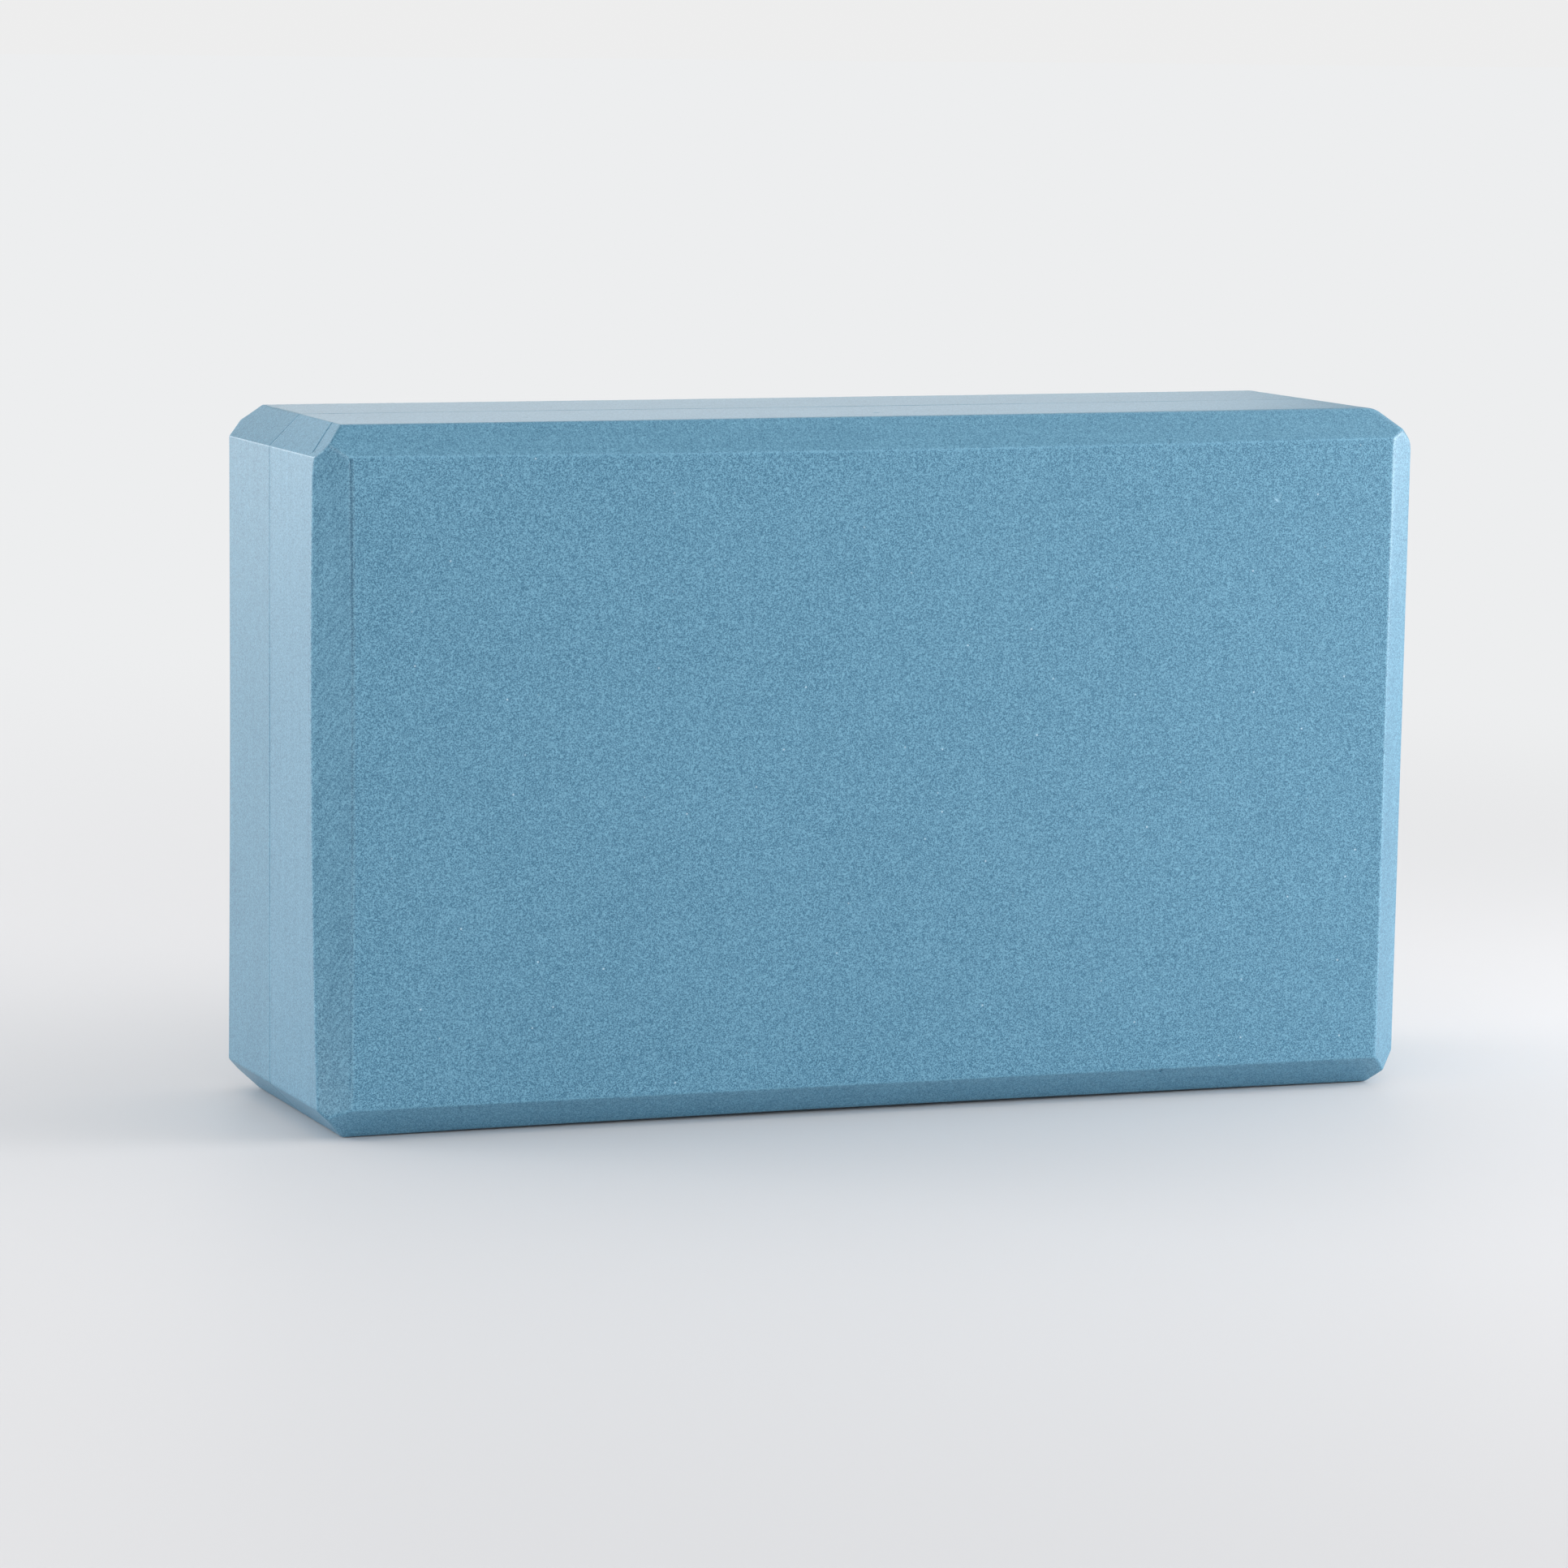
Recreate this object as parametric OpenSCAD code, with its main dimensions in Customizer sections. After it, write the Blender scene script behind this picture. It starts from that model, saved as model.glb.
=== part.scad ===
// Foam yoga block: two sheets of closed-cell EVA foam bonded face to face,
// sawn to size, with a flat 45 degree bevel along all twelve edges.
// It stands on one of its long narrow sides. The origin is at the middle of
// that side. +X runs along the length, +Y from front to rear, and +Z is up.

/* [Block] */
// Length, from one end face to the other
block_l = 230; // [180:5:305]
// Height as it stands, from one long narrow side to the other
block_h = 138; // [100:1:180]

/* [Foam sheets] */
// Thickness of the sheet that carries the front face
front_sheet_t = 36; // [20:1:50]
// Thickness of the sheet that carries the rear face
rear_sheet_t = 36; // [20:1:50]

/* [Bevels] */
// Leg of the bevels between the broad faces and the long narrow sides
long_bevel = 6.4; // [2:0.1:9]
// Leg of the bevels between the broad faces and the ends
upright_bevel = 6; // [2:0.1:9]
// Leg of the bevels between the ends and the long narrow sides
end_bevel = 6.2; // [2:0.1:9]

/* [Hidden] */
// Thickness of the whole block
block_t = front_sheet_t + rear_sheet_t;
// Where the front face and the rear face stand along Y
front_y = -block_t / 2;
rear_y = block_t / 2;
// The plane along which the two sheets are bonded
bond_y = front_y + front_sheet_t;
// How far each profile runs past the block, so that every cut goes right through
overrun = 10;

// An oblong centred on the origin, with its four corners cut off at 45 degrees
module bevelled_oblong(w, h, bevel) {
  // The two ends of the cut across the corner where x and y are both positive
  on_side = [w / 2, h / 2 - bevel];
  on_top = [w / 2 - bevel, h / 2];
  polygon([
    [on_side.x, -on_side.y],
    on_side,
    on_top,
    [-on_top.x, on_top.y],
    [-on_side.x, on_side.y],
    -on_side,
    -on_top,
    [on_top.x, -on_top.y]
  ]);
}

// The block's outline seen from above, which carries the upright bevels
module plan_prism() {
  translate([0, 0, -overrun])
    linear_extrude(block_h + 2 * overrun)
      bevelled_oblong(block_l, block_t, upright_bevel);
}

// Its outline seen from an end, which carries the long bevels
module end_prism() {
  translate([-block_l / 2 - overrun, 0, block_h / 2])
    rotate([90, 0, 90])
      linear_extrude(block_l + 2 * overrun)
        bevelled_oblong(block_t, block_h, long_bevel);
}

// Its outline seen from the front, which carries the bevels of the ends
module front_prism() {
  translate([0, rear_y + overrun, block_h / 2])
    rotate([90, 0, 0])
      linear_extrude(block_t + 2 * overrun)
        bevelled_oblong(block_l, block_h, end_bevel);
}

// The block as it is cut to shape, both sheets together
module cut_block() {
  intersection() {
    plan_prism();
    end_prism();
    front_prism();
  }
}

// The part of the cut block that lies between two upright planes across Y
module sheet_between(y_from, y_to) {
  intersection() {
    cut_block();
    translate([-block_l / 2 - overrun, y_from, -overrun])
      cube([block_l + 2 * overrun, y_to - y_from, block_h + 2 * overrun]);
  }
}

module front_sheet() {
  color("#7aaecb")
    sheet_between(front_y - overrun, bond_y);
}

module rear_sheet() {
  color("#74a8c6")
    sheet_between(bond_y, rear_y + overrun);
}

front_sheet();
rear_sheet();
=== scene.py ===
import math

import bmesh
import bpy
import numpy as np
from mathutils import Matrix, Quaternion, Vector


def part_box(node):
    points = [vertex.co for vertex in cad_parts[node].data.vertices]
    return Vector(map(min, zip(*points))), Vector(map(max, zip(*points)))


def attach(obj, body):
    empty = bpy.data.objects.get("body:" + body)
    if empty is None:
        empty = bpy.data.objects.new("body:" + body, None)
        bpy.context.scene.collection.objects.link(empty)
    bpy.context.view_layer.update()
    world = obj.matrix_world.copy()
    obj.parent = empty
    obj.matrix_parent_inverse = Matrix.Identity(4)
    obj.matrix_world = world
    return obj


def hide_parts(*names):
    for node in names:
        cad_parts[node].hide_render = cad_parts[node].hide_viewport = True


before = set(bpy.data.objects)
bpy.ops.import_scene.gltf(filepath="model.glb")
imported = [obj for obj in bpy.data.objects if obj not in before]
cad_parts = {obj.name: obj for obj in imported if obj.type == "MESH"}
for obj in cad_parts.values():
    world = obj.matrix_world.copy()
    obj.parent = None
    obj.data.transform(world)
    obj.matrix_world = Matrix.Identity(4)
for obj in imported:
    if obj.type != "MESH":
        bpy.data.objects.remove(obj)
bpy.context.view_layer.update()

MM = 0.001

# ---------------------------------------------------------------- sizes, from the frame
front_low, front_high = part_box("front_sheet")
rear_low, rear_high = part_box("rear_sheet")
low = np.minimum(front_low, rear_low)
high = np.maximum(front_high, rear_high)
middle = (low + high) / 2
half = (high - low) / 2
bond_y = front_high.y
# A corner of the frame's block this near to a plane lies on it
ON_PLANE = 0.01 * MM


def bevel_leg(face_axis, leg_axis):
    """How far the block's flat face across face_axis stops short of its side along leg_axis."""
    corners = np.array([v.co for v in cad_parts["rear_sheet"].data.vertices])
    on_face = corners[np.abs(corners[:, face_axis] - high[face_axis]) < ON_PLANE]
    return high[leg_axis] - on_face[:, leg_axis].max()


upright_leg = bevel_leg(1, 0)
long_leg = bevel_leg(1, 2)
end_leg = bevel_leg(0, 2)

# ---------------------------------------------------------------- how the block was cut
# Depth under each side of the block from which the surface's points fan out
CORE_DEPTH = 12 * MM
# Spacing of the surface's points: on the flats, where the arrises run, outside the arrises
# and between them and the flats
FLAT_STEP = 1.5 * MM
ARRIS_STEP = 0.14 * MM
OUTER_STEP = 3 * ARRIS_STEP
INNER_STEP = 5 * ARRIS_STEP
ARRIS_ZONE = 0.75 * MM
# The line where the two sheets meet is a fine groove, and the rows of points beside it close
# up toward it
SEAM_HALF_WIDTH = 0.22 * MM
SEAM_DEPTH = 0.14 * MM
SEAM_ROWS = (2 * MM, 1 * MM, 0.6 * MM, SEAM_HALF_WIDTH, SEAM_HALF_WIDTH / 2, 0)

# The knife was guided by hand, so a bevel's leg wanders along it. Each entry is the bevel's
# direction and the axis that the leg is measured on: mm to add all along it, more toward
# its far end, and more at both ends than halfway
KNIFE_WANDER = {
    ((-1, -1, 0), 0): (0.25, 0.0, -0.2),
    ((-1, -1, 0), 1): (0.45, 1.75, -2.75),
    ((1, -1, 0), 0): (0.3, -0.8, 0.0),
    ((1, -1, 0), 1): (-0.5, -1.85, 0.0),
    ((0, -1, 1), 2): (-0.30, -0.1, -0.4),
    ((0, -1, 1), 1): (-0.40, 1.4, 0.0),
    ((0, -1, -1), 2): (-0.15, -0.1, 0.0),
    ((-1, 1, 0), 0): (0.10, -0.2, -0.3),
    ((-1, 1, 0), 1): (0.20, 0.6, -0.7),
    ((1, 1, 0), 0): (-0.10, 0.3, -0.2),
    ((1, 1, 0), 1): (0.30, -0.5, -0.5),
    ((0, 1, 1), 2): (-0.20, 0.3, -0.2),
    ((0, 1, -1), 2): (0.10, -0.2, 0.2),
    ((-1, 0, 1), 0): (0.0, 0.9, 0.0),
}
# This bevel was cut slowly by hand, and is rough with slanting knife marks
HAND_CUT = (-1, -1, 0)
# Where the knife came out of a bevel early, it ends in a round arch. Each entry is how many
# mm the leg narrows at its far end, by the bevel's direction and the leg's axis. The arch
# begins and ends at these shares of the way from the block's middle to its far side
KNIFE_LIFT = {((-1, -1, 0), 0): 1.0, ((-1, -1, 0), 1): 2.4}
LIFT_BEGINS = 0.84
LIFT_ENDS = 0.96
NARROWEST_LEG = 1.0 * MM
# Some arrises are rounder than the rest, and one sharper, in mm by their cut's direction
RUBBED = {(0, 1, 1): 1.8, (1, 0, 1): 2.8, (1, 1, 0): 0.9, (-1, 0, 1): 0.15}
# How far single cuts stand in from their plane halfway along, in mm by direction
CUT_HOLLOW = {
    (0, 0, -1): 0.60,
    (-1, -1, 0): 0.18,
    (0, -1, 1): 0.20,
    (0, 1, 1): 0.30,
    (0, 0, 1): 0.12,
}
# A cut's own finish fades out over this much past its arrises
CUT_FADE = 0.3 * MM
# An arris gets its full painted highlight where it is rounded off by this much. The painted
# highlight shows most beside the broad faces, and within this reach of them it falls to this share
FULL_HIGHLIGHT_ROUNDING = 0.09 * MM
HIGHLIGHT_REACH = 0.8 * MM
LEAST_HIGHLIGHT = 0.15
# A ray that runs almost along a cut is taken to close in on it at least this fast
LEAST_CLOSING = 0.001


# ---------------------------------------------------------------- nodes
MATH = "ShaderNodeMath"
VECTOR = "ShaderNodeVectorMath"


def linear(hex_colour):
    """An sRGB hex colour as linear RGBA."""
    parts = [int(hex_colour[i : i + 2], 16) / 255 for i in (1, 3, 5)]
    return (*[p / 12.92 if p <= 0.04045 else ((p + 0.055) / 1.055) ** 2.4 for p in parts], 1.0)


def add(tree, kind, settings=None, out=0, **inputs):
    """Adds a node with its settings and links, and gives one of its outputs. Each input is
    a value or a socket to link from, and goes by its label, or by _ and its number."""
    node = tree.nodes.new(kind)
    for key, value in (settings or {}).items():
        setattr(node, key, value)
    for key, value in inputs.items():
        slot = int(key[1:]) if key[1:].isdigit() else key.replace("_", " ")
        if isinstance(value, bpy.types.NodeSocket):
            tree.links.new(value, node.inputs[slot])
        else:
            node.inputs[slot].default_value = value
    return node.outputs[out] if node.outputs else node


# ---------------------------------------------------------------- the sheets' form
def spaced(start, stop, step):
    """Evenly spaced places from start up to, but not at, stop."""
    count = max(1, round((stop - start) / step))
    return [start + (stop - start) * i / count for i in range(count)]


def side_lines():
    """Distances in from a side of the block, close together where the arrises run."""
    shallow = min(upright_leg, long_leg, end_leg) - ARRIS_ZONE
    deep = max(upright_leg, long_leg, end_leg) + ARRIS_ZONE
    lines = spaced(0, shallow, OUTER_STEP)
    lines += spaced(shallow, deep, ARRIS_STEP)
    lines += spaced(deep, CORE_DEPTH, INNER_STEP)
    return lines


def lines_across(axis):
    """The places of the lines that cross the block from one side to the other."""
    from_side = side_lines()
    inner = spaced(low[axis] + CORE_DEPTH, high[axis] - CORE_DEPTH, FLAT_STEP)
    lines = [low[axis] + d for d in from_side] + inner
    return np.array(lines + [high[axis] - d for d in reversed([*from_side, CORE_DEPTH])])


def lines_to_bond(side):
    """Places along Y from the front (-1) or rear (1) face to the bond plane."""
    outer = low[1] if side < 0 else high[1]
    from_side = [outer - side * d for d in side_lines()]
    inner = spaced(outer - side * CORE_DEPTH, bond_y + side * SEAM_ROWS[0], FLAT_STEP)
    return np.array(from_side + inner + [bond_y + side * d for d in SEAM_ROWS])


def box_skin(xs, ys, zs):
    """The points and quads of a box's skin over three sets of lines, open where y is last."""
    counts = (len(xs), len(ys), len(zs))
    number = {}
    points = []
    quads = []

    def point(i, j, k):
        key = (i, j, k)
        if key not in number:
            number[key] = len(points)
            points.append((xs[i], ys[j], zs[k]))
        return number[key]

    def side(axis, at, flip):
        a, b = [v for v in range(3) if v != axis]
        for i in range(counts[a] - 1):
            for j in range(counts[b] - 1):
                ring = []
                for di, dj in ((0, 0), (1, 0), (1, 1), (0, 1)):
                    place = [0, 0, 0]
                    place[axis], place[a], place[b] = at, i + di, j + dj
                    ring.append(point(*place))
                quads.append(ring[::-1] if flip else ring)

    side(1, 0, False)
    for axis in (0, 2):
        side(axis, 0, axis == 0)
        side(axis, counts[axis] - 1, axis == 2)
    return points, quads


def close_at_bond(mesh):
    """Closes a sheet with one flat face where it is bonded to the other."""
    shape = bmesh.new()
    shape.from_mesh(mesh)
    rim = [e for e in shape.edges if e.is_boundary]
    bmesh.ops.contextual_create(shape, geom=rim)
    bmesh.ops.recalc_face_normals(shape, faces=shape.faces)
    for edge in rim:
        edge.smooth = False
    shape.to_mesh(mesh)
    shape.free()


def block_skin(name, side):
    """A plain skin round one half of the block, with its points where the cuts need them."""
    points, quads = box_skin(lines_across(0), lines_to_bond(side), lines_across(2))
    if side > 0:
        quads = [q[::-1] for q in quads]
    mesh = bpy.data.meshes.new(name)
    mesh.from_pydata(points, [], quads)
    close_at_bond(mesh)
    made = bpy.data.objects.new(name, mesh)
    bpy.context.scene.collection.objects.link(made)
    return made


def cut_directions(side):
    """The directions of one sheet's cuts: its flat faces, then its bevels."""
    steps = [tuple(int(v) - 1 for v in step) for step in np.ndindex(3, 3, 3)]
    steps = [d for d in steps if d[1] != -side and 0 < np.count_nonzero(d) < 3]
    return sorted(steps, key=np.count_nonzero)


def cutting_tree(side):
    """Geometry Nodes that press a plain skin onto the block's flat cuts and bevels: each
    point travels out along its ray until it meets the first cut, and where two cuts are
    met together the arris is rounded."""
    tree = bpy.data.node_groups.new("cut and bevelled sheet", "GeometryNodeTree")
    sockets = tree.interface
    sockets.new_socket("Geometry", in_out="INPUT", socket_type="NodeSocketGeometry")
    sizes = {
        "Middle": middle,
        "Half size": half,
        "Bevel leg along X": long_leg,
        "Bevel leg along Y": end_leg,
        "Bevel leg along Z": upright_leg,
        "Core depth": CORE_DEPTH,
        "Arris softness": 0.55 * MM,
        "Rubbed corner softness": 2.4 * MM,
        "Rubbed corner reach": 9 * MM,
        "Seam place": bond_y,
        "Seam half width": SEAM_HALF_WIDTH,
        "Seam depth": SEAM_DEPTH,
        "Unevenness": 0.11 * MM,
        "Unevenness width": 34 * MM,
        "Seed": 4.0 + side,
    }
    for label, value in sizes.items():
        kind = "NodeSocketVector" if np.ndim(value) else "NodeSocketFloat"
        sockets.new_socket(label, in_out="INPUT", socket_type=kind)
    sockets.new_socket("Foam", in_out="INPUT", socket_type="NodeSocketMaterial")
    sockets.new_socket("Geometry", in_out="OUTPUT", socket_type="NodeSocketGeometry")
    given = tree.nodes.new("NodeGroupInput").outputs

    position = add(tree, "GeometryNodeInputPosition")
    place = add(tree, VECTOR, {"operation": "SUBTRACT"}, _0=position, _1=given["Middle"])
    share = add(tree, VECTOR, {"operation": "DIVIDE"}, _0=place, _1=given["Half size"])
    share_along = add(tree, "ShaderNodeSeparateXYZ", Vector=share).node.outputs
    core = add(
        tree, VECTOR, {"operation": "SUBTRACT"}, _0=given["Half size"], _1=given["Core depth"]
    )
    far_core = add(tree, VECTOR, {"operation": "SCALE"}, _0=core, Scale=-1.0)
    start = add(tree, VECTOR, {"operation": "MAXIMUM"}, _0=place, _1=far_core)
    start = add(tree, VECTOR, {"operation": "MINIMUM"}, _0=start, _1=core)
    ray = add(tree, VECTOR, {"operation": "SUBTRACT"}, _0=place, _1=start)
    ray = add(tree, VECTOR, {"operation": "NORMALIZE"}, _0=ray)

    def leg(direction, on_axis):
        """A bevel's leg on one of its two axes, with the knife's wander along it."""
        steady, lean, bow = [v * MM for v in KNIFE_WANDER.get((direction, on_axis), (0, 0, 0))]
        along = direction.index(0)
        turn = add(
            tree, MATH, {"operation": "MULTIPLY_ADD"}, _0=share_along[along], _1=bow, _2=lean
        )
        drift = add(
            tree, MATH, {"operation": "MULTIPLY_ADD"}, _0=share_along[along], _1=turn, _2=steady
        )
        width = add(
            tree, MATH, {"operation": "ADD"}, _0=given["Bevel leg along " + "XYZ"[along]], _1=drift
        )
        if (direction, on_axis) not in KNIFE_LIFT:
            return width
        lift = add(
            tree,
            "ShaderNodeMapRange",
            {"interpolation_type": "SMOOTHSTEP"},
            Value=share_along[along],
            From_Min=LIFT_BEGINS,
            From_Max=LIFT_ENDS,
            To_Max=KNIFE_LIFT[direction, on_axis] * MM,
        )
        width = add(tree, MATH, {"operation": "SUBTRACT"}, _0=width, _1=lift)
        return add(tree, MATH, {"operation": "MAXIMUM"}, _0=width, _1=NARROWEST_LEG)

    def travel_to(direction):
        """How far along its ray a point meets the cut that faces that direction."""
        axes = [a for a in range(3) if direction[a]]
        if len(axes) == 1:
            normal = direction
            rim = given["Half size"]
        else:
            a, b = axes
            legs = {a: leg(direction, a), b: leg(direction, b)}
            tilt = add(tree, "ShaderNodeCombineXYZ", **{"XYZ"[a]: legs[b], "XYZ"[b]: legs[a]})
            normal = add(tree, VECTOR, {"operation": "MULTIPLY"}, _0=tilt, _1=direction)
            normal = add(tree, VECTOR, {"operation": "NORMALIZE"}, _0=normal)
            inset = add(tree, "ShaderNodeCombineXYZ", **{"XYZ"[b]: legs[b]})
            rim = add(tree, VECTOR, {"operation": "SUBTRACT"}, _0=given["Half size"], _1=inset)
        rim = add(tree, VECTOR, {"operation": "MULTIPLY"}, _0=rim, _1=direction)
        to_rim = add(tree, VECTOR, {"operation": "SUBTRACT"}, _0=rim, _1=start)
        gap = add(tree, VECTOR, {"operation": "DOT_PRODUCT"}, out=1, _0=to_rim, _1=normal)
        if direction in CUT_HOLLOW:
            along = share_along[direction.index(0)]
            deep = CUT_HOLLOW[direction] * MM
            curve = add(tree, MATH, {"operation": "MULTIPLY"}, _0=along, _1=along)
            hollow = add(tree, MATH, {"operation": "MULTIPLY_ADD"}, _0=curve, _1=-deep, _2=deep)
            gap = add(tree, MATH, {"operation": "SUBTRACT"}, _0=gap, _1=hollow)
        toward = add(tree, VECTOR, {"operation": "DOT_PRODUCT"}, out=1, _0=ray, _1=normal)
        toward = add(tree, MATH, {"operation": "MAXIMUM"}, _0=toward, _1=LEAST_CLOSING)
        return add(tree, MATH, {"operation": "DIVIDE"}, _0=gap, _1=toward)

    # Near the block's corners the arrises round the broad faces are rubbed rounder
    off_corner = add(tree, VECTOR, {"operation": "ABSOLUTE"}, _0=place)
    off_corner = add(
        tree, VECTOR, {"operation": "DISTANCE"}, out=1, _0=off_corner, _1=given["Half size"]
    )
    rubbed = add(
        tree,
        "ShaderNodeMapRange",
        {"interpolation_type": "SMOOTHSTEP"},
        Value=off_corner,
        From_Min=0.0,
        From_Max=given["Rubbed corner reach"],
        To_Min=given["Rubbed corner softness"],
        To_Max=given["Arris softness"],
    )
    broad_face = (0, side, 0)
    to_broad_face = travel_to(broad_face)
    travel = to_broad_face
    sharp = to_broad_face
    to_hand_cut = to_broad_face
    for direction in ((0, side, 1), (0, side, -1)):
        here = travel_to(direction)
        soft = RUBBED[direction] * MM if direction in RUBBED else rubbed
        travel = add(tree, MATH, {"operation": "SMOOTH_MIN"}, _0=travel, _1=here, _2=soft)
        sharp = add(tree, MATH, {"operation": "MINIMUM"}, _0=sharp, _1=here)
    for direction in cut_directions(side):
        if direction[0] == 0 and direction[1] == side:
            continue
        here = travel_to(direction)
        soft = RUBBED[direction] * MM if direction in RUBBED else given["Arris softness"]
        travel = add(tree, MATH, {"operation": "SMOOTH_MIN"}, _0=travel, _1=here, _2=soft)
        if direction == HAND_CUT:
            to_hand_cut = here
        sharp = add(tree, MATH, {"operation": "MINIMUM"}, _0=sharp, _1=here)

    off_face = add(tree, MATH, {"operation": "SUBTRACT"}, _0=to_broad_face, _1=sharp)
    on_face = add(
        tree, "ShaderNodeMapRange", Value=off_face, From_Max=CUT_FADE, To_Min=1.0, To_Max=0.0
    )
    off_hand_cut = add(tree, MATH, {"operation": "SUBTRACT"}, _0=to_hand_cut, _1=sharp)
    on_hand_cut = add(
        tree, "ShaderNodeMapRange", Value=off_hand_cut, From_Max=CUT_FADE, To_Min=1.0, To_Max=0.0
    )
    # The rounded arrises get a painted highlight, strongest beside the broad faces
    arris_highlight = add(tree, MATH, {"operation": "SUBTRACT"}, _0=sharp, _1=travel)
    arris_highlight = add(tree, "ShaderNodeMapRange", Value=arris_highlight, From_Max=FULL_HIGHLIGHT_ROUNDING)
    highlight_by_face = add(
        tree,
        "ShaderNodeMapRange",
        Value=off_face,
        From_Max=HIGHLIGHT_REACH,
        To_Min=1.0,
        To_Max=LEAST_HIGHLIGHT,
    )
    arris_highlight = add(tree, MATH, {"operation": "MULTIPLY"}, _0=arris_highlight, _1=highlight_by_face)

    # The seam is a groove across the sheet's edge where it meets the other sheet
    along_y = add(tree, "ShaderNodeSeparateXYZ", out=1, Vector=position)
    off_seam = add(tree, MATH, {"operation": "SUBTRACT"}, _0=along_y, _1=given["Seam place"])
    off_seam = add(tree, MATH, {"operation": "ABSOLUTE"}, _0=off_seam)
    groove = add(
        tree,
        "ShaderNodeMapRange",
        Value=off_seam,
        From_Max=given["Seam half width"],
        To_Min=given["Seam depth"],
        To_Max=0.0,
    )
    travel = add(tree, MATH, {"operation": "SUBTRACT"}, _0=travel, _1=groove)

    # The foam gave a little under the knife, so no flat is quite flat
    fineness = add(tree, MATH, {"operation": "DIVIDE"}, _0=1.0, _1=given["Unevenness width"])
    waves = add(
        tree,
        "ShaderNodeTexNoise",
        {"noise_dimensions": "4D"},
        Vector=position,
        W=given["Seed"],
        Scale=fineness,
        Detail=1.5,
    )
    dip = add(tree, MATH, {"operation": "MULTIPLY"}, _0=waves, _1=given["Unevenness"])
    travel = add(tree, MATH, {"operation": "SUBTRACT"}, _0=travel, _1=dip)

    out = add(tree, VECTOR, {"operation": "SCALE"}, _0=ray, Scale=travel)
    placed = add(tree, VECTOR, {"operation": "ADD"}, _0=start, _1=out)
    placed = add(tree, VECTOR, {"operation": "ADD"}, _0=placed, _1=given["Middle"])
    shape = given["Geometry"]
    # The arrises' painted highlight is stored beside the broad faces' mask
    stored = {"broad_face": on_face, "arris_painted_highlight": arris_highlight}
    if side == HAND_CUT[1]:
        stored["hand_cut"] = on_hand_cut
    for label, value in stored.items():
        shape = add(
            tree,
            "GeometryNodeStoreNamedAttribute",
            {"data_type": "FLOAT", "domain": "POINT"},
            Geometry=shape,
            Name=label,
            Value=value,
        )
    shape = add(tree, "GeometryNodeSetPosition", Geometry=shape, Position=placed)
    shape = add(tree, "GeometryNodeSetShadeSmooth", _0=shape)
    shape = add(tree, "GeometryNodeRealizeInstances", Geometry=shape)
    shape = add(tree, "GeometryNodeSetMaterial", Geometry=shape, Material=given["Foam"])
    tree.links.new(shape, tree.nodes.new("NodeGroupOutput").inputs[0])
    return tree, sizes


def foam_sheet(name, side, foam):
    """One foam sheet of the block, cut to form: side is -1 in front and 1 behind."""
    made = block_skin(name, side)
    tree, sizes = cutting_tree(side)
    cutting = made.modifiers.new("cutting", "NODES")
    cutting.node_group = tree
    sizes["Foam"] = foam
    for item in tree.interface.items_tree:
        if item.name in sizes:
            value = sizes[item.name]
            cutting[item.identifier] = [float(v) for v in value] if np.ndim(value) else value
    ready = made.evaluated_get(bpy.context.evaluated_depsgraph_get())
    made.data = bpy.data.meshes.new_from_object(ready)
    made.modifiers.remove(cutting)
    return made


# ---------------------------------------------------------------- knocks and scores
# Each mark: where it starts and ends in mm, its half width, its depth and its tone, which
# runs from 1 for a pale scuff to -1 for painted shade in a dark groove, score or crease
MARKS = (
    ((84.1, -36.0, 120.2), (84.6, -36.0, 121.5), 0.34, 0.14, 0.9),
    ((83.8, -36.0, 120.4), (84.3, -36.0, 120.1), 0.42, 0.20, 1.5),
    ((69.8, -36.0, 9.2), (69.8, -36.0, 9.5), 0.30, -0.10, 1.4),
    ((69.0, -36.0, 9.0), (69.1, -36.0, 9.5), 0.18, -0.06, 0.8),
    ((60.6, -35.7, 6.3), (60.6, -34.9, 5.2), 0.28, 0.30, -0.8),
    ((-52.1, -35.9, 6.6), (-51.8, -36.0, 7.5), 0.26, -0.12, 1.2),
    ((60.0, -35.8, 131.8), (60.4, -35.2, 132.6), 0.28, 0.16, -0.4),
    ((3.7, -19.2, 138.0), (4.3, -19.2, 138.0), 0.50, 0.28, -0.5),
    ((12.4, -18.6, 138.0), (12.6, -18.6, 138.0), 0.30, 0.14, -0.4),
    ((-68.6, -18.1, 138.0), (-68.4, -18.1, 138.0), 0.35, 0.18, -0.4),
    ((-115.0, 23.6, 129.5), (-115.0, 23.4, 129.9), 0.30, 0.20, -0.5),
    ((-115.0, 10.7, 119.6), (-115.0, 10.7, 119.7), 0.20, 0.14, -0.5),
    ((-115.0, 21.8, 31.6), (-115.0, 21.8, 31.7), 0.22, 0.16, -0.5),
    ((-115.0, 7.9, 39.5), (-115.0, 7.9, 39.7), 0.22, 0.16, -0.5),
    ((-111.2, -19.6, 135.6), (-111.1, -19.6, 135.7), 0.26, 0.16, -0.5),
    ((-111.8, -33.2, 33.5), (-111.8, -33.2, 33.6), 0.28, 0.20, -0.6),
    ((-111.6, -33.3, 27.6), (-111.6, -33.3, 27.7), 0.24, 0.16, -0.5),
    ((-114.2, -28.2, 132.7), (-109.6, -24.7, 137.85), 0.36, 0.24, -1.0),
    ((-109.0, -36.0, 131.4), (-108.7, -36.0, 100.0), 0.50, 0.40, -1.1),
    ((-108.7, -36.0, 100.0), (-108.7, -36.0, 55.0), 0.48, 0.32, -0.9),
    ((-108.7, -36.0, 55.0), (-109.0, -36.0, 10.0), 0.46, 0.22, -0.6),
    ((-109.35, -35.6, 130.5), (-109.2, -35.6, 60.0), 0.30, -0.06, 0.2),
)
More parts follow.
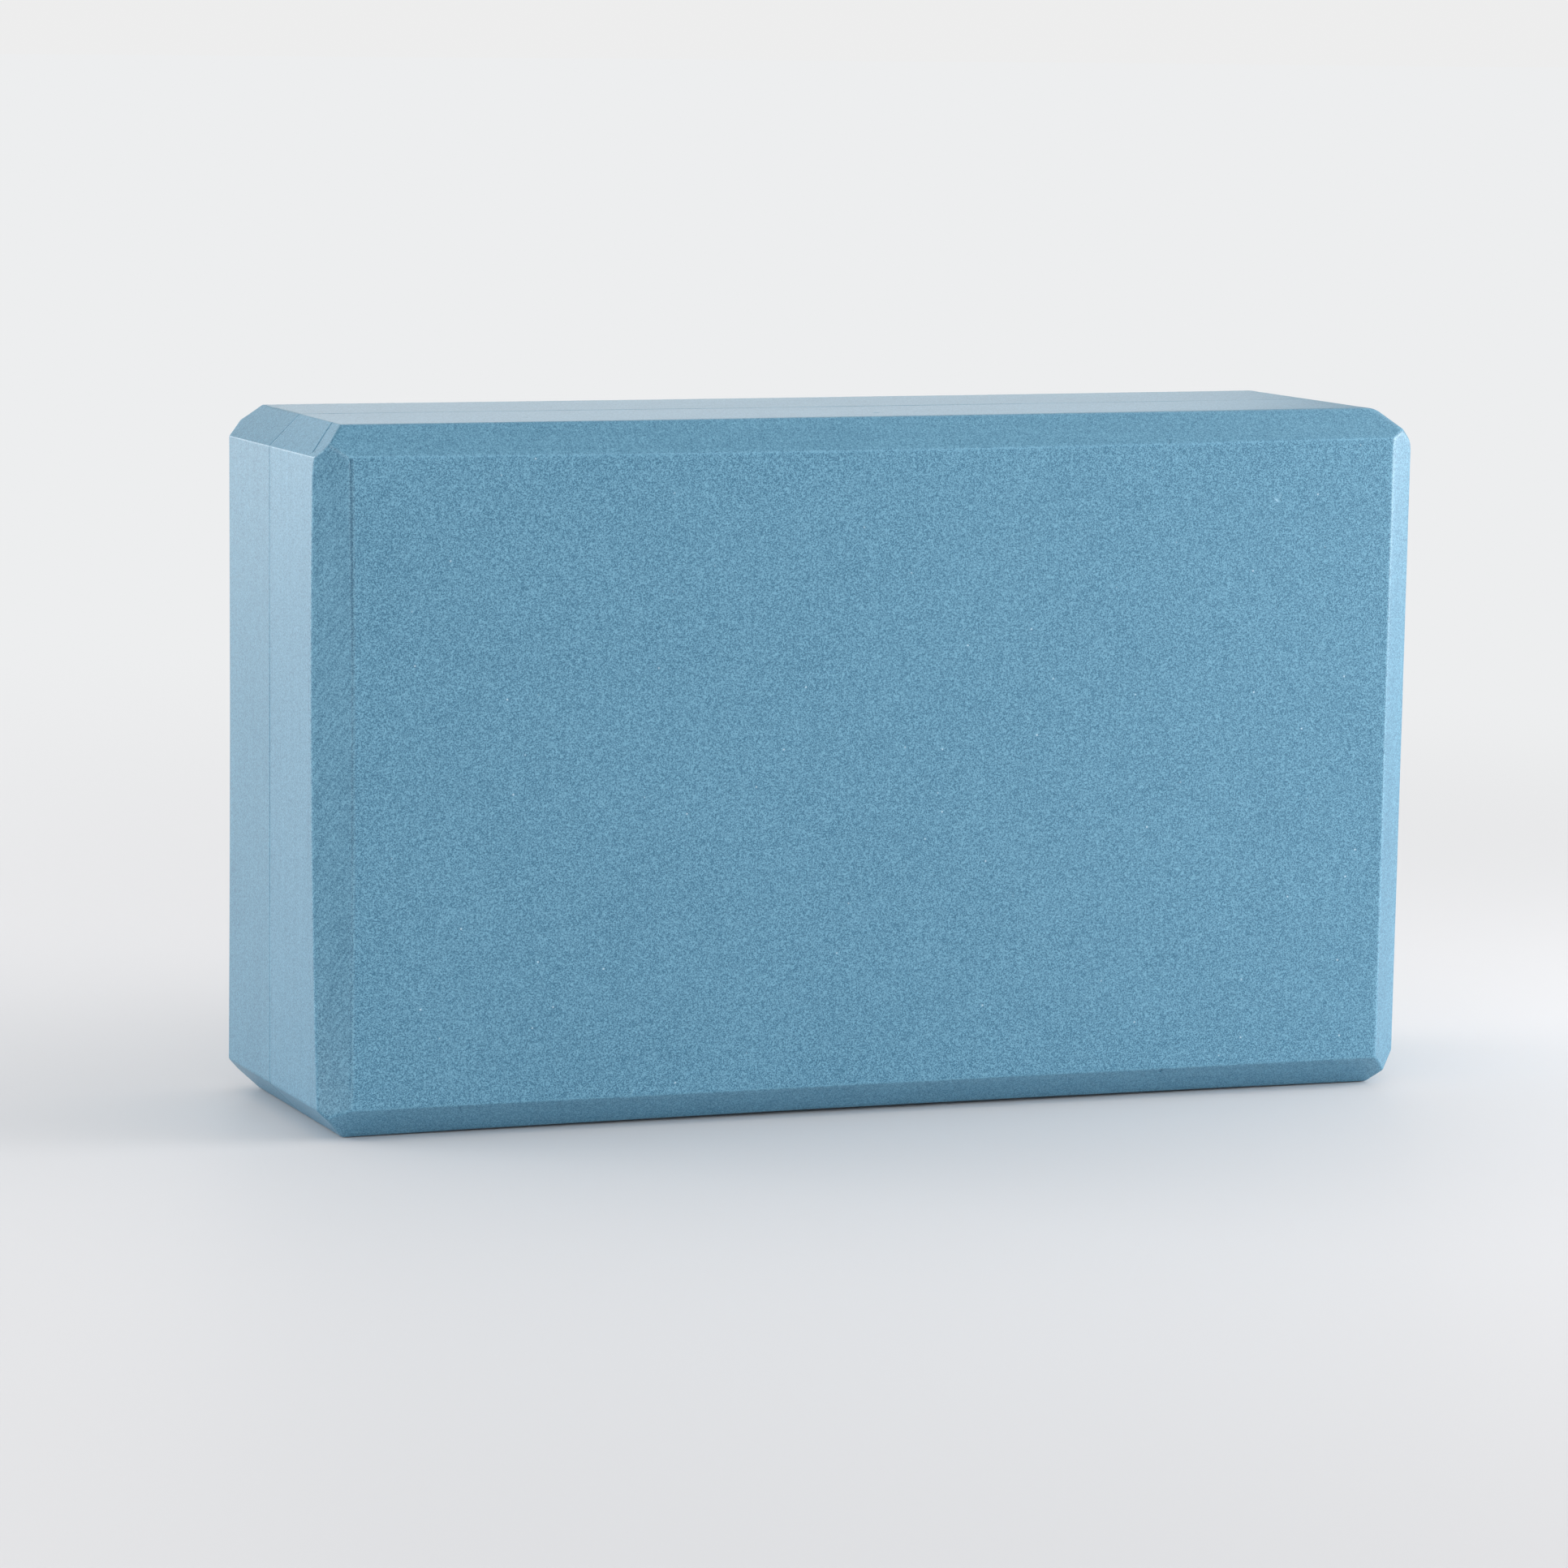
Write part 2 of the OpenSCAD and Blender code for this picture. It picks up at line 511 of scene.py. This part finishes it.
# Round a mark shorter than this, and this far beyond its width, edges longer than this are
# cut into finer ones. A longer mark runs where the surface is fine already
LONG_MARK = 8 * MM
FINE_MARGIN = 0.9 * MM
COARSE_EDGE = 0.3 * MM
EXTRA_CUTS = 7


def distance_to_line(points, start, end):
    """How far each point is from the line between two places."""
    line = end - start
    share = np.clip((points - start) @ line / (line @ line), 0, 1)
    return np.linalg.norm(points - start - share[:, None] * line, axis=1)


def press_marks(piece):
    """Presses the marks into a sheet, after making its surface finer round the short ones."""
    shape = bmesh.new()
    shape.from_mesh(piece.data)
    for start, end, width, _, _ in MARKS:
        a, b = np.array(start) * MM, np.array(end) * MM
        if np.linalg.norm(b - a) > LONG_MARK:
            continue
        faces = [f for f in shape.faces if len(f.verts) == 4]
        centres = np.array([f.calc_center_median() for f in faces])
        near = np.flatnonzero(distance_to_line(centres, a, b) < width * MM + FINE_MARGIN)
        edges = {e for i in near for e in faces[i].edges if e.calc_length() > COARSE_EDGE}
        if edges:
            bmesh.ops.subdivide_edges(
                shape, edges=list(edges), cuts=EXTRA_CUTS, use_grid_fill=True
            )
    shape.normal_update()
    points = np.array([v.co for v in shape.verts])
    normals = np.array([v.normal for v in shape.verts])
    scuffs_and_shade = np.zeros(len(points))
    # Each point takes its marks' tone: pale for a scuff, dark as painted shade in a groove, score
    # or crease
    for start, end, width, depth, tone in MARKS:
        away = distance_to_line(points, np.array(start) * MM, np.array(end) * MM) / (width * MM)
        inside = np.clip(1 - away**2, 0, 1) ** 2
        points -= normals * (depth * MM * inside)[:, None]
        scuffs_and_shade += tone * inside
    layer = shape.verts.layers.float.new("mark_scuff_and_shade")
    for vertex, place, value in zip(shape.verts, points, scuffs_and_shade):
        vertex.co = place
        vertex[layer] = value
    shape.to_mesh(piece.data)
    shape.free()


# ---------------------------------------------------------------- the foam
# Cut cells are 0.15 to 0.25 mm across, and the hollows between them run a little larger
CELL_SIZE = 0.20 * MM
HOLLOW_SIZE = 0.27 * MM
# Knife marks on the hand-cut bevel: how far apart, how many times longer than that, and how
# steeply they climb
KNIFE_MARK_STEP = 0.5 * MM
KNIFE_MARK_STRETCH = 9
KNIFE_MARK_SLANT = math.radians(52)
# The splitting blade's streaks: how far apart they are through the block's thickness, and
# how fast they change the other two ways, as a share of that
STREAK_STEP = 0.9 * MM
STREAK_DRAW = 0.02
# Broad soft clouds of lighter and deeper foam
CLOUD_SIZE = 20 * MM
# How strong the speckle is on the narrow sides and on the broad faces, what the hand-cut
# bevel adds, and the tone that it plays around, from 0 for deep to 1 for pale
SIDE_SPECKLE = 1.2
FACE_SPECKLE = 1.95
HAND_CUT_SPECKLE = 0.2
BASE_TONE = 0.40
# How much each of the other traces adds to the tone. The arrises' share is a painted highlight,
# and the marks' dark tone is painted shade in their grooves
CLOUD_TONE = 0.2
KNIFE_TONE = 1.2
STREAK_TONE = 0.35
ARRIS_HIGHLIGHT_TONE = 0.45
MARK_SCUFF_AND_SHADE_TONE = 0.7
# Pale specks: how far apart, where each begins to fade and ends in shares of that, how strong
SPECK_STEP = 5.0 * MM
SPECK_CORE = 0.02
SPECK_RIM = 0.05
SPECK_STRENGTH = 0.6
# The bump's relief, and how much deeper the knife marks are in it than the hollows
RELIEF_DEPTH = 0.06 * MM
RELIEF_STRENGTH = 0.28
KNIFE_RELIEF = 1.8
# A skin between matt and satin. The index is above EVA's own 1.49, for the broad pale sheen
# that the cut skin shows where light grazes it
FOAM_ROUGHNESS = 0.38
FOAM_INDEX = 1.62


def eva_foam(name, pale, deep, speck):
    """Closed-cell EVA foam, split from a bun and left as the knife cut it: a satin skin
    with a fine speckle of pale cell walls and dark hollows, coarser on the broad faces."""
    made = bpy.data.materials.new(name)
    made.use_nodes = True
    tree = made.node_tree
    tree.nodes.clear()
    place = add(tree, "ShaderNodeTexCoord", out=3)
    layers = {}
    for label in ("broad_face", "arris_painted_highlight", "hand_cut", "mark_scuff_and_shade"):
        layers[label] = add(tree, "ShaderNodeAttribute", {"attribute_name": label}, out=2)

    cells = add(tree, "ShaderNodeTexVoronoi", out=1, Vector=place, Scale=1 / CELL_SIZE)
    hollows = add(
        tree, "ShaderNodeTexNoise", Vector=place, Scale=1 / HOLLOW_SIZE, Detail=1.5, Roughness=0.6
    )
    # Knife marks slant across the hand-cut bevel
    level = np.array([1, -1, 0]) / math.sqrt(2)
    upward = np.array([0, 0, 1])
    with_marks = math.cos(KNIFE_MARK_SLANT) * level + math.sin(KNIFE_MARK_SLANT) * upward
    over_marks = math.cos(KNIFE_MARK_SLANT) * upward - math.sin(KNIFE_MARK_SLANT) * level
    with_marks = with_marks / KNIFE_MARK_STRETCH
    run = add(tree, VECTOR, {"operation": "DOT_PRODUCT"}, out=1, _0=place, _1=with_marks)
    step = add(tree, VECTOR, {"operation": "DOT_PRODUCT"}, out=1, _0=place, _1=over_marks)
    slope = add(tree, "ShaderNodeCombineXYZ", X=run, Y=step)
    knife = add(
        tree,
        "ShaderNodeTexNoise",
        Vector=slope,
        Scale=1 / KNIFE_MARK_STEP,
        Detail=2.0,
        Roughness=0.6,
    )
    knife = add(tree, MATH, {"operation": "SUBTRACT"}, _0=knife, _1=0.5)
    knife = add(tree, MATH, {"operation": "MULTIPLY"}, _0=knife, _1=layers["hand_cut"])
    # The splitting blade left faint streaks that run the long way of the narrow sides
    drawn_out = (STREAK_DRAW, 1.0, STREAK_DRAW)
    drawn_out = add(tree, VECTOR, {"operation": "MULTIPLY"}, _0=place, _1=drawn_out)
    streaks = add(
        tree,
        "ShaderNodeTexNoise",
        Vector=drawn_out,
        Scale=1 / STREAK_STEP,
        Detail=2.0,
        Roughness=0.6,
    )
    streaks = add(tree, MATH, {"operation": "SUBTRACT"}, _0=streaks, _1=0.5)
    narrow = add(tree, MATH, {"operation": "SUBTRACT"}, _0=1.0, _1=layers["broad_face"])
    streaks = add(tree, MATH, {"operation": "MULTIPLY"}, _0=streaks, _1=narrow)
    cloud = add(
        tree, "ShaderNodeTexNoise", Vector=place, Scale=1 / CLOUD_SIZE, Detail=5.0, Roughness=0.6
    )

    contrast = add(
        tree,
        "ShaderNodeMapRange",
        Value=layers["broad_face"],
        To_Min=SIDE_SPECKLE,
        To_Max=FACE_SPECKLE,
    )
    contrast = add(
        tree,
        MATH,
        {"operation": "MULTIPLY_ADD"},
        _0=layers["hand_cut"],
        _1=HAND_CUT_SPECKLE,
        _2=contrast,
    )
    grain = add(tree, MATH, {"operation": "SUBTRACT"}, _0=cells, _1=0.5)
    tone = add(tree, MATH, {"operation": "MULTIPLY_ADD"}, _0=grain, _1=contrast, _2=BASE_TONE)
    # The arris trace lightens as a painted highlight, and the marks darken as painted shade
    for trace, amount in (
        (cloud, CLOUD_TONE),
        (knife, KNIFE_TONE),
        (streaks, STREAK_TONE),
        (layers["arris_painted_highlight"], ARRIS_HIGHLIGHT_TONE),
        (layers["mark_scuff_and_shade"], MARK_SCUFF_AND_SHADE_TONE),
    ):
        tone = add(tree, MATH, {"operation": "MULTIPLY_ADD"}, _0=trace, _1=amount, _2=tone)
    colour = add(
        tree,
        "ShaderNodeMix",
        {"data_type": "RGBA"},
        out=2,
        _0=tone,
        _6=linear(deep),
        _7=linear(pale),
    )
    # Here and there a cell wall catches the light as a pale speck
    spots = add(tree, "ShaderNodeTexVoronoi", Vector=place, Scale=1 / SPECK_STEP)
    spots = add(
        tree,
        "ShaderNodeMapRange",
        Value=spots,
        From_Min=SPECK_CORE,
        From_Max=SPECK_RIM,
        To_Min=SPECK_STRENGTH,
        To_Max=0,
    )
    spots = add(tree, MATH, {"operation": "MULTIPLY"}, _0=spots, _1=layers["broad_face"])
    colour = add(
        tree, "ShaderNodeMix", {"data_type": "RGBA"}, out=2, _0=spots, _6=colour, _7=linear(speck)
    )
    relief = add(tree, MATH, {"operation": "MULTIPLY_ADD"}, _0=knife, _1=KNIFE_RELIEF, _2=hollows)
    bump = add(
        tree, "ShaderNodeBump", Strength=RELIEF_STRENGTH, Distance=RELIEF_DEPTH, Height=relief
    )
    foam = add(
        tree,
        "ShaderNodeBsdfPrincipled",
        Base_Color=colour,
        Roughness=FOAM_ROUGHNESS,
        IOR=FOAM_INDEX,
        Normal=bump,
    )
    add(tree, "ShaderNodeOutputMaterial", Surface=foam)
    return made


# ---------------------------------------------------------------- the block
SPECK = "#cfe3ee"
# Each sheet: its name, its side, the frame's node, its slot, and its pale and deep foam. The
# rear one is a slightly deeper shade
SHEETS = (
    ("front_foam_sheet", -1, "front_sheet", "foam_front", "#6a9fb9", "#2c6784"),
    ("rear_foam_sheet", 1, "rear_sheet", "foam_rear", "#659bb4", "#296380"),
)
for name, side, node, slot, pale, deep in SHEETS:
    foam = eva_foam(f"{slot} closed-cell EVA", pale, deep, SPECK)
    sheet = foam_sheet(name, side, foam)
    press_marks(sheet)
    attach(sheet, "root")
    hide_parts(node)


# ---------------------------------------------------------------- stage, lights and camera
TABLE_RADIUS = 20.0
TABLE = "#d8d8da"
BACKDROP = "#edeeef"
# The board fades into the backdrop round an oval: its centre, how it is drawn out, and how
# far off the fade begins and ends
FADE_CENTRE = (0.0, -0.15, 0.0)
FADE_STRETCH = (1.4, 0.8, 1.0)
FADE_BEGINS = 0.25
FADE_ENDS = 0.90


def floor():
    """A wide pale table top that fades into a lit backdrop."""
    shape = bmesh.new()
    bmesh.ops.create_circle(shape, cap_ends=True, segments=96, radius=TABLE_RADIUS)
    mesh = bpy.data.meshes.new("table_top")
    shape.to_mesh(mesh)
    shape.free()
    made = bpy.data.objects.new("table_top", mesh)
    bpy.context.scene.collection.objects.link(made)
    look = bpy.data.materials.new("matt white board")
    look.use_nodes = True
    tree = look.node_tree
    tree.nodes.clear()
    board = add(tree, "ShaderNodeBsdfPrincipled", Base_Color=linear(TABLE), Roughness=0.6)
    lit = add(tree, "ShaderNodeEmission", Color=linear(BACKDROP), Strength=1.0)
    place = add(tree, "ShaderNodeTexCoord", out=3)
    place = add(tree, VECTOR, {"operation": "MULTIPLY"}, _0=place, _1=FADE_STRETCH)
    away = add(tree, VECTOR, {"operation": "DISTANCE"}, out=1, _0=place, _1=FADE_CENTRE)
    far = add(
        tree,
        "ShaderNodeMapRange",
        {"interpolation_type": "SMOOTHSTEP"},
        Value=away,
        From_Min=FADE_BEGINS,
        From_Max=FADE_ENDS,
    )
    both = add(tree, "ShaderNodeMixShader", _0=far, _1=board, _2=lit)
    add(tree, "ShaderNodeOutputMaterial", Surface=both)
    mesh.materials.append(look)


# Each soft box: its azimuth from the front toward +X and its elevation, in degrees, then its
# distance, size and power
SOFT_BOXES = {
    "near low key": (60, 7, 0.95, (0.45, 0.25), 3.3),
    "near high key": (75, 20, 0.5, (0.3, 0.3), 1.13),
    "right strip": (90, 6, 1.6, (1.4, 0.5), 4.18),
    "left rear strip": (225, 6, 1.6, (1.4, 0.5), 6.69),
    "left rear": (245, 15, 1.6, (1.2, 0.8), 8.39),
    "left front": (330, 12, 1.8, (1.8, 0.8), 9.0),
    "rear strip": (180, 8, 2.5, (2.5, 0.5), 8.0),
}
# How bright the room is by how high it is looked at, in degrees
ROOM = ((0, 0.85), (10, 0.5), (25, 0.3), (45, 1.3), (90, 0.0))
ROOM_BRIGHTEST = max(bright for _, bright in ROOM)


def soft_box(name, azimuth, elevation, distance, size, power):
    """A soft box that looks at the block from that side."""
    data = bpy.data.lights.new(name, "AREA")
    data.shape = "RECTANGLE"
    data.size, data.size_y = size
    data.energy = power
    made = bpy.data.objects.new(name, data)
    a, e = math.radians(azimuth), math.radians(elevation)
    away = Vector((math.sin(a) * math.cos(e), -math.cos(a) * math.cos(e), math.sin(e)))
    made.location = Vector(middle) + away * distance
    made.rotation_mode = "QUATERNION"
    made.rotation_quaternion = away.to_track_quat("Z", "Y")
    made.visible_camera = False
    bpy.context.scene.collection.objects.link(made)


def studio():
    """A pale room: bright low down, with a ring of light halfway up and a dim ceiling."""
    world = bpy.data.worlds.new("studio")
    world.use_nodes = True
    tree = world.node_tree
    tree.nodes.clear()
    ray = add(tree, "ShaderNodeTexCoord")
    height = add(tree, "ShaderNodeSeparateXYZ", out=2, Vector=ray)
    height = add(tree, MATH, {"operation": "ARCSINE"}, _0=height)
    height = add(tree, MATH, {"operation": "DIVIDE"}, _0=height, _1=math.radians(90))
    light = add(tree, "ShaderNodeValToRGB", Fac=height)
    steps = light.node.color_ramp.elements
    for up, _ in ROOM[1:-1]:
        steps.new(up / 90)
    for step, (_, bright) in zip(steps, ROOM):
        share = bright / ROOM_BRIGHTEST
        step.color = (share, share, share, 1)
    sky = add(tree, "ShaderNodeBackground", Color=light, Strength=ROOM_BRIGHTEST)
    add(tree, "ShaderNodeOutputWorld", Surface=sky)
    bpy.context.scene.world = world


CAMERA_PLACE = (-0.4520, -1.2057, 0.2201)
CAMERA_LENS = 147.49
CAMERA_AZIMUTH = math.radians(20.23)
CAMERA_DIP = math.radians(7.02)
CAMERA_ROLL = math.radians(0.50)


def camera():
    """A long lens, a little above the block and round to its left."""
    data = bpy.data.cameras.new("camera")
    data.sensor_width = 36
    data.lens = CAMERA_LENS
    data.clip_end = 50
    made = bpy.data.objects.new("camera", data)
    made.location = CAMERA_PLACE
    ahead = Vector(
        (
            math.sin(CAMERA_AZIMUTH) * math.cos(CAMERA_DIP),
            math.cos(CAMERA_AZIMUTH) * math.cos(CAMERA_DIP),
            -math.sin(CAMERA_DIP),
        )
    )
    roll = Quaternion((0, 0, 1), CAMERA_ROLL)
    made.rotation_mode = "QUATERNION"
    made.rotation_quaternion = ahead.to_track_quat("-Z", "Y") @ roll
    bpy.context.scene.collection.objects.link(made)
    bpy.context.scene.camera = made


floor()
for name, settings in SOFT_BOXES.items():
    soft_box(name, *settings)
studio()
bpy.context.scene.view_settings.view_transform = "Standard"
camera()
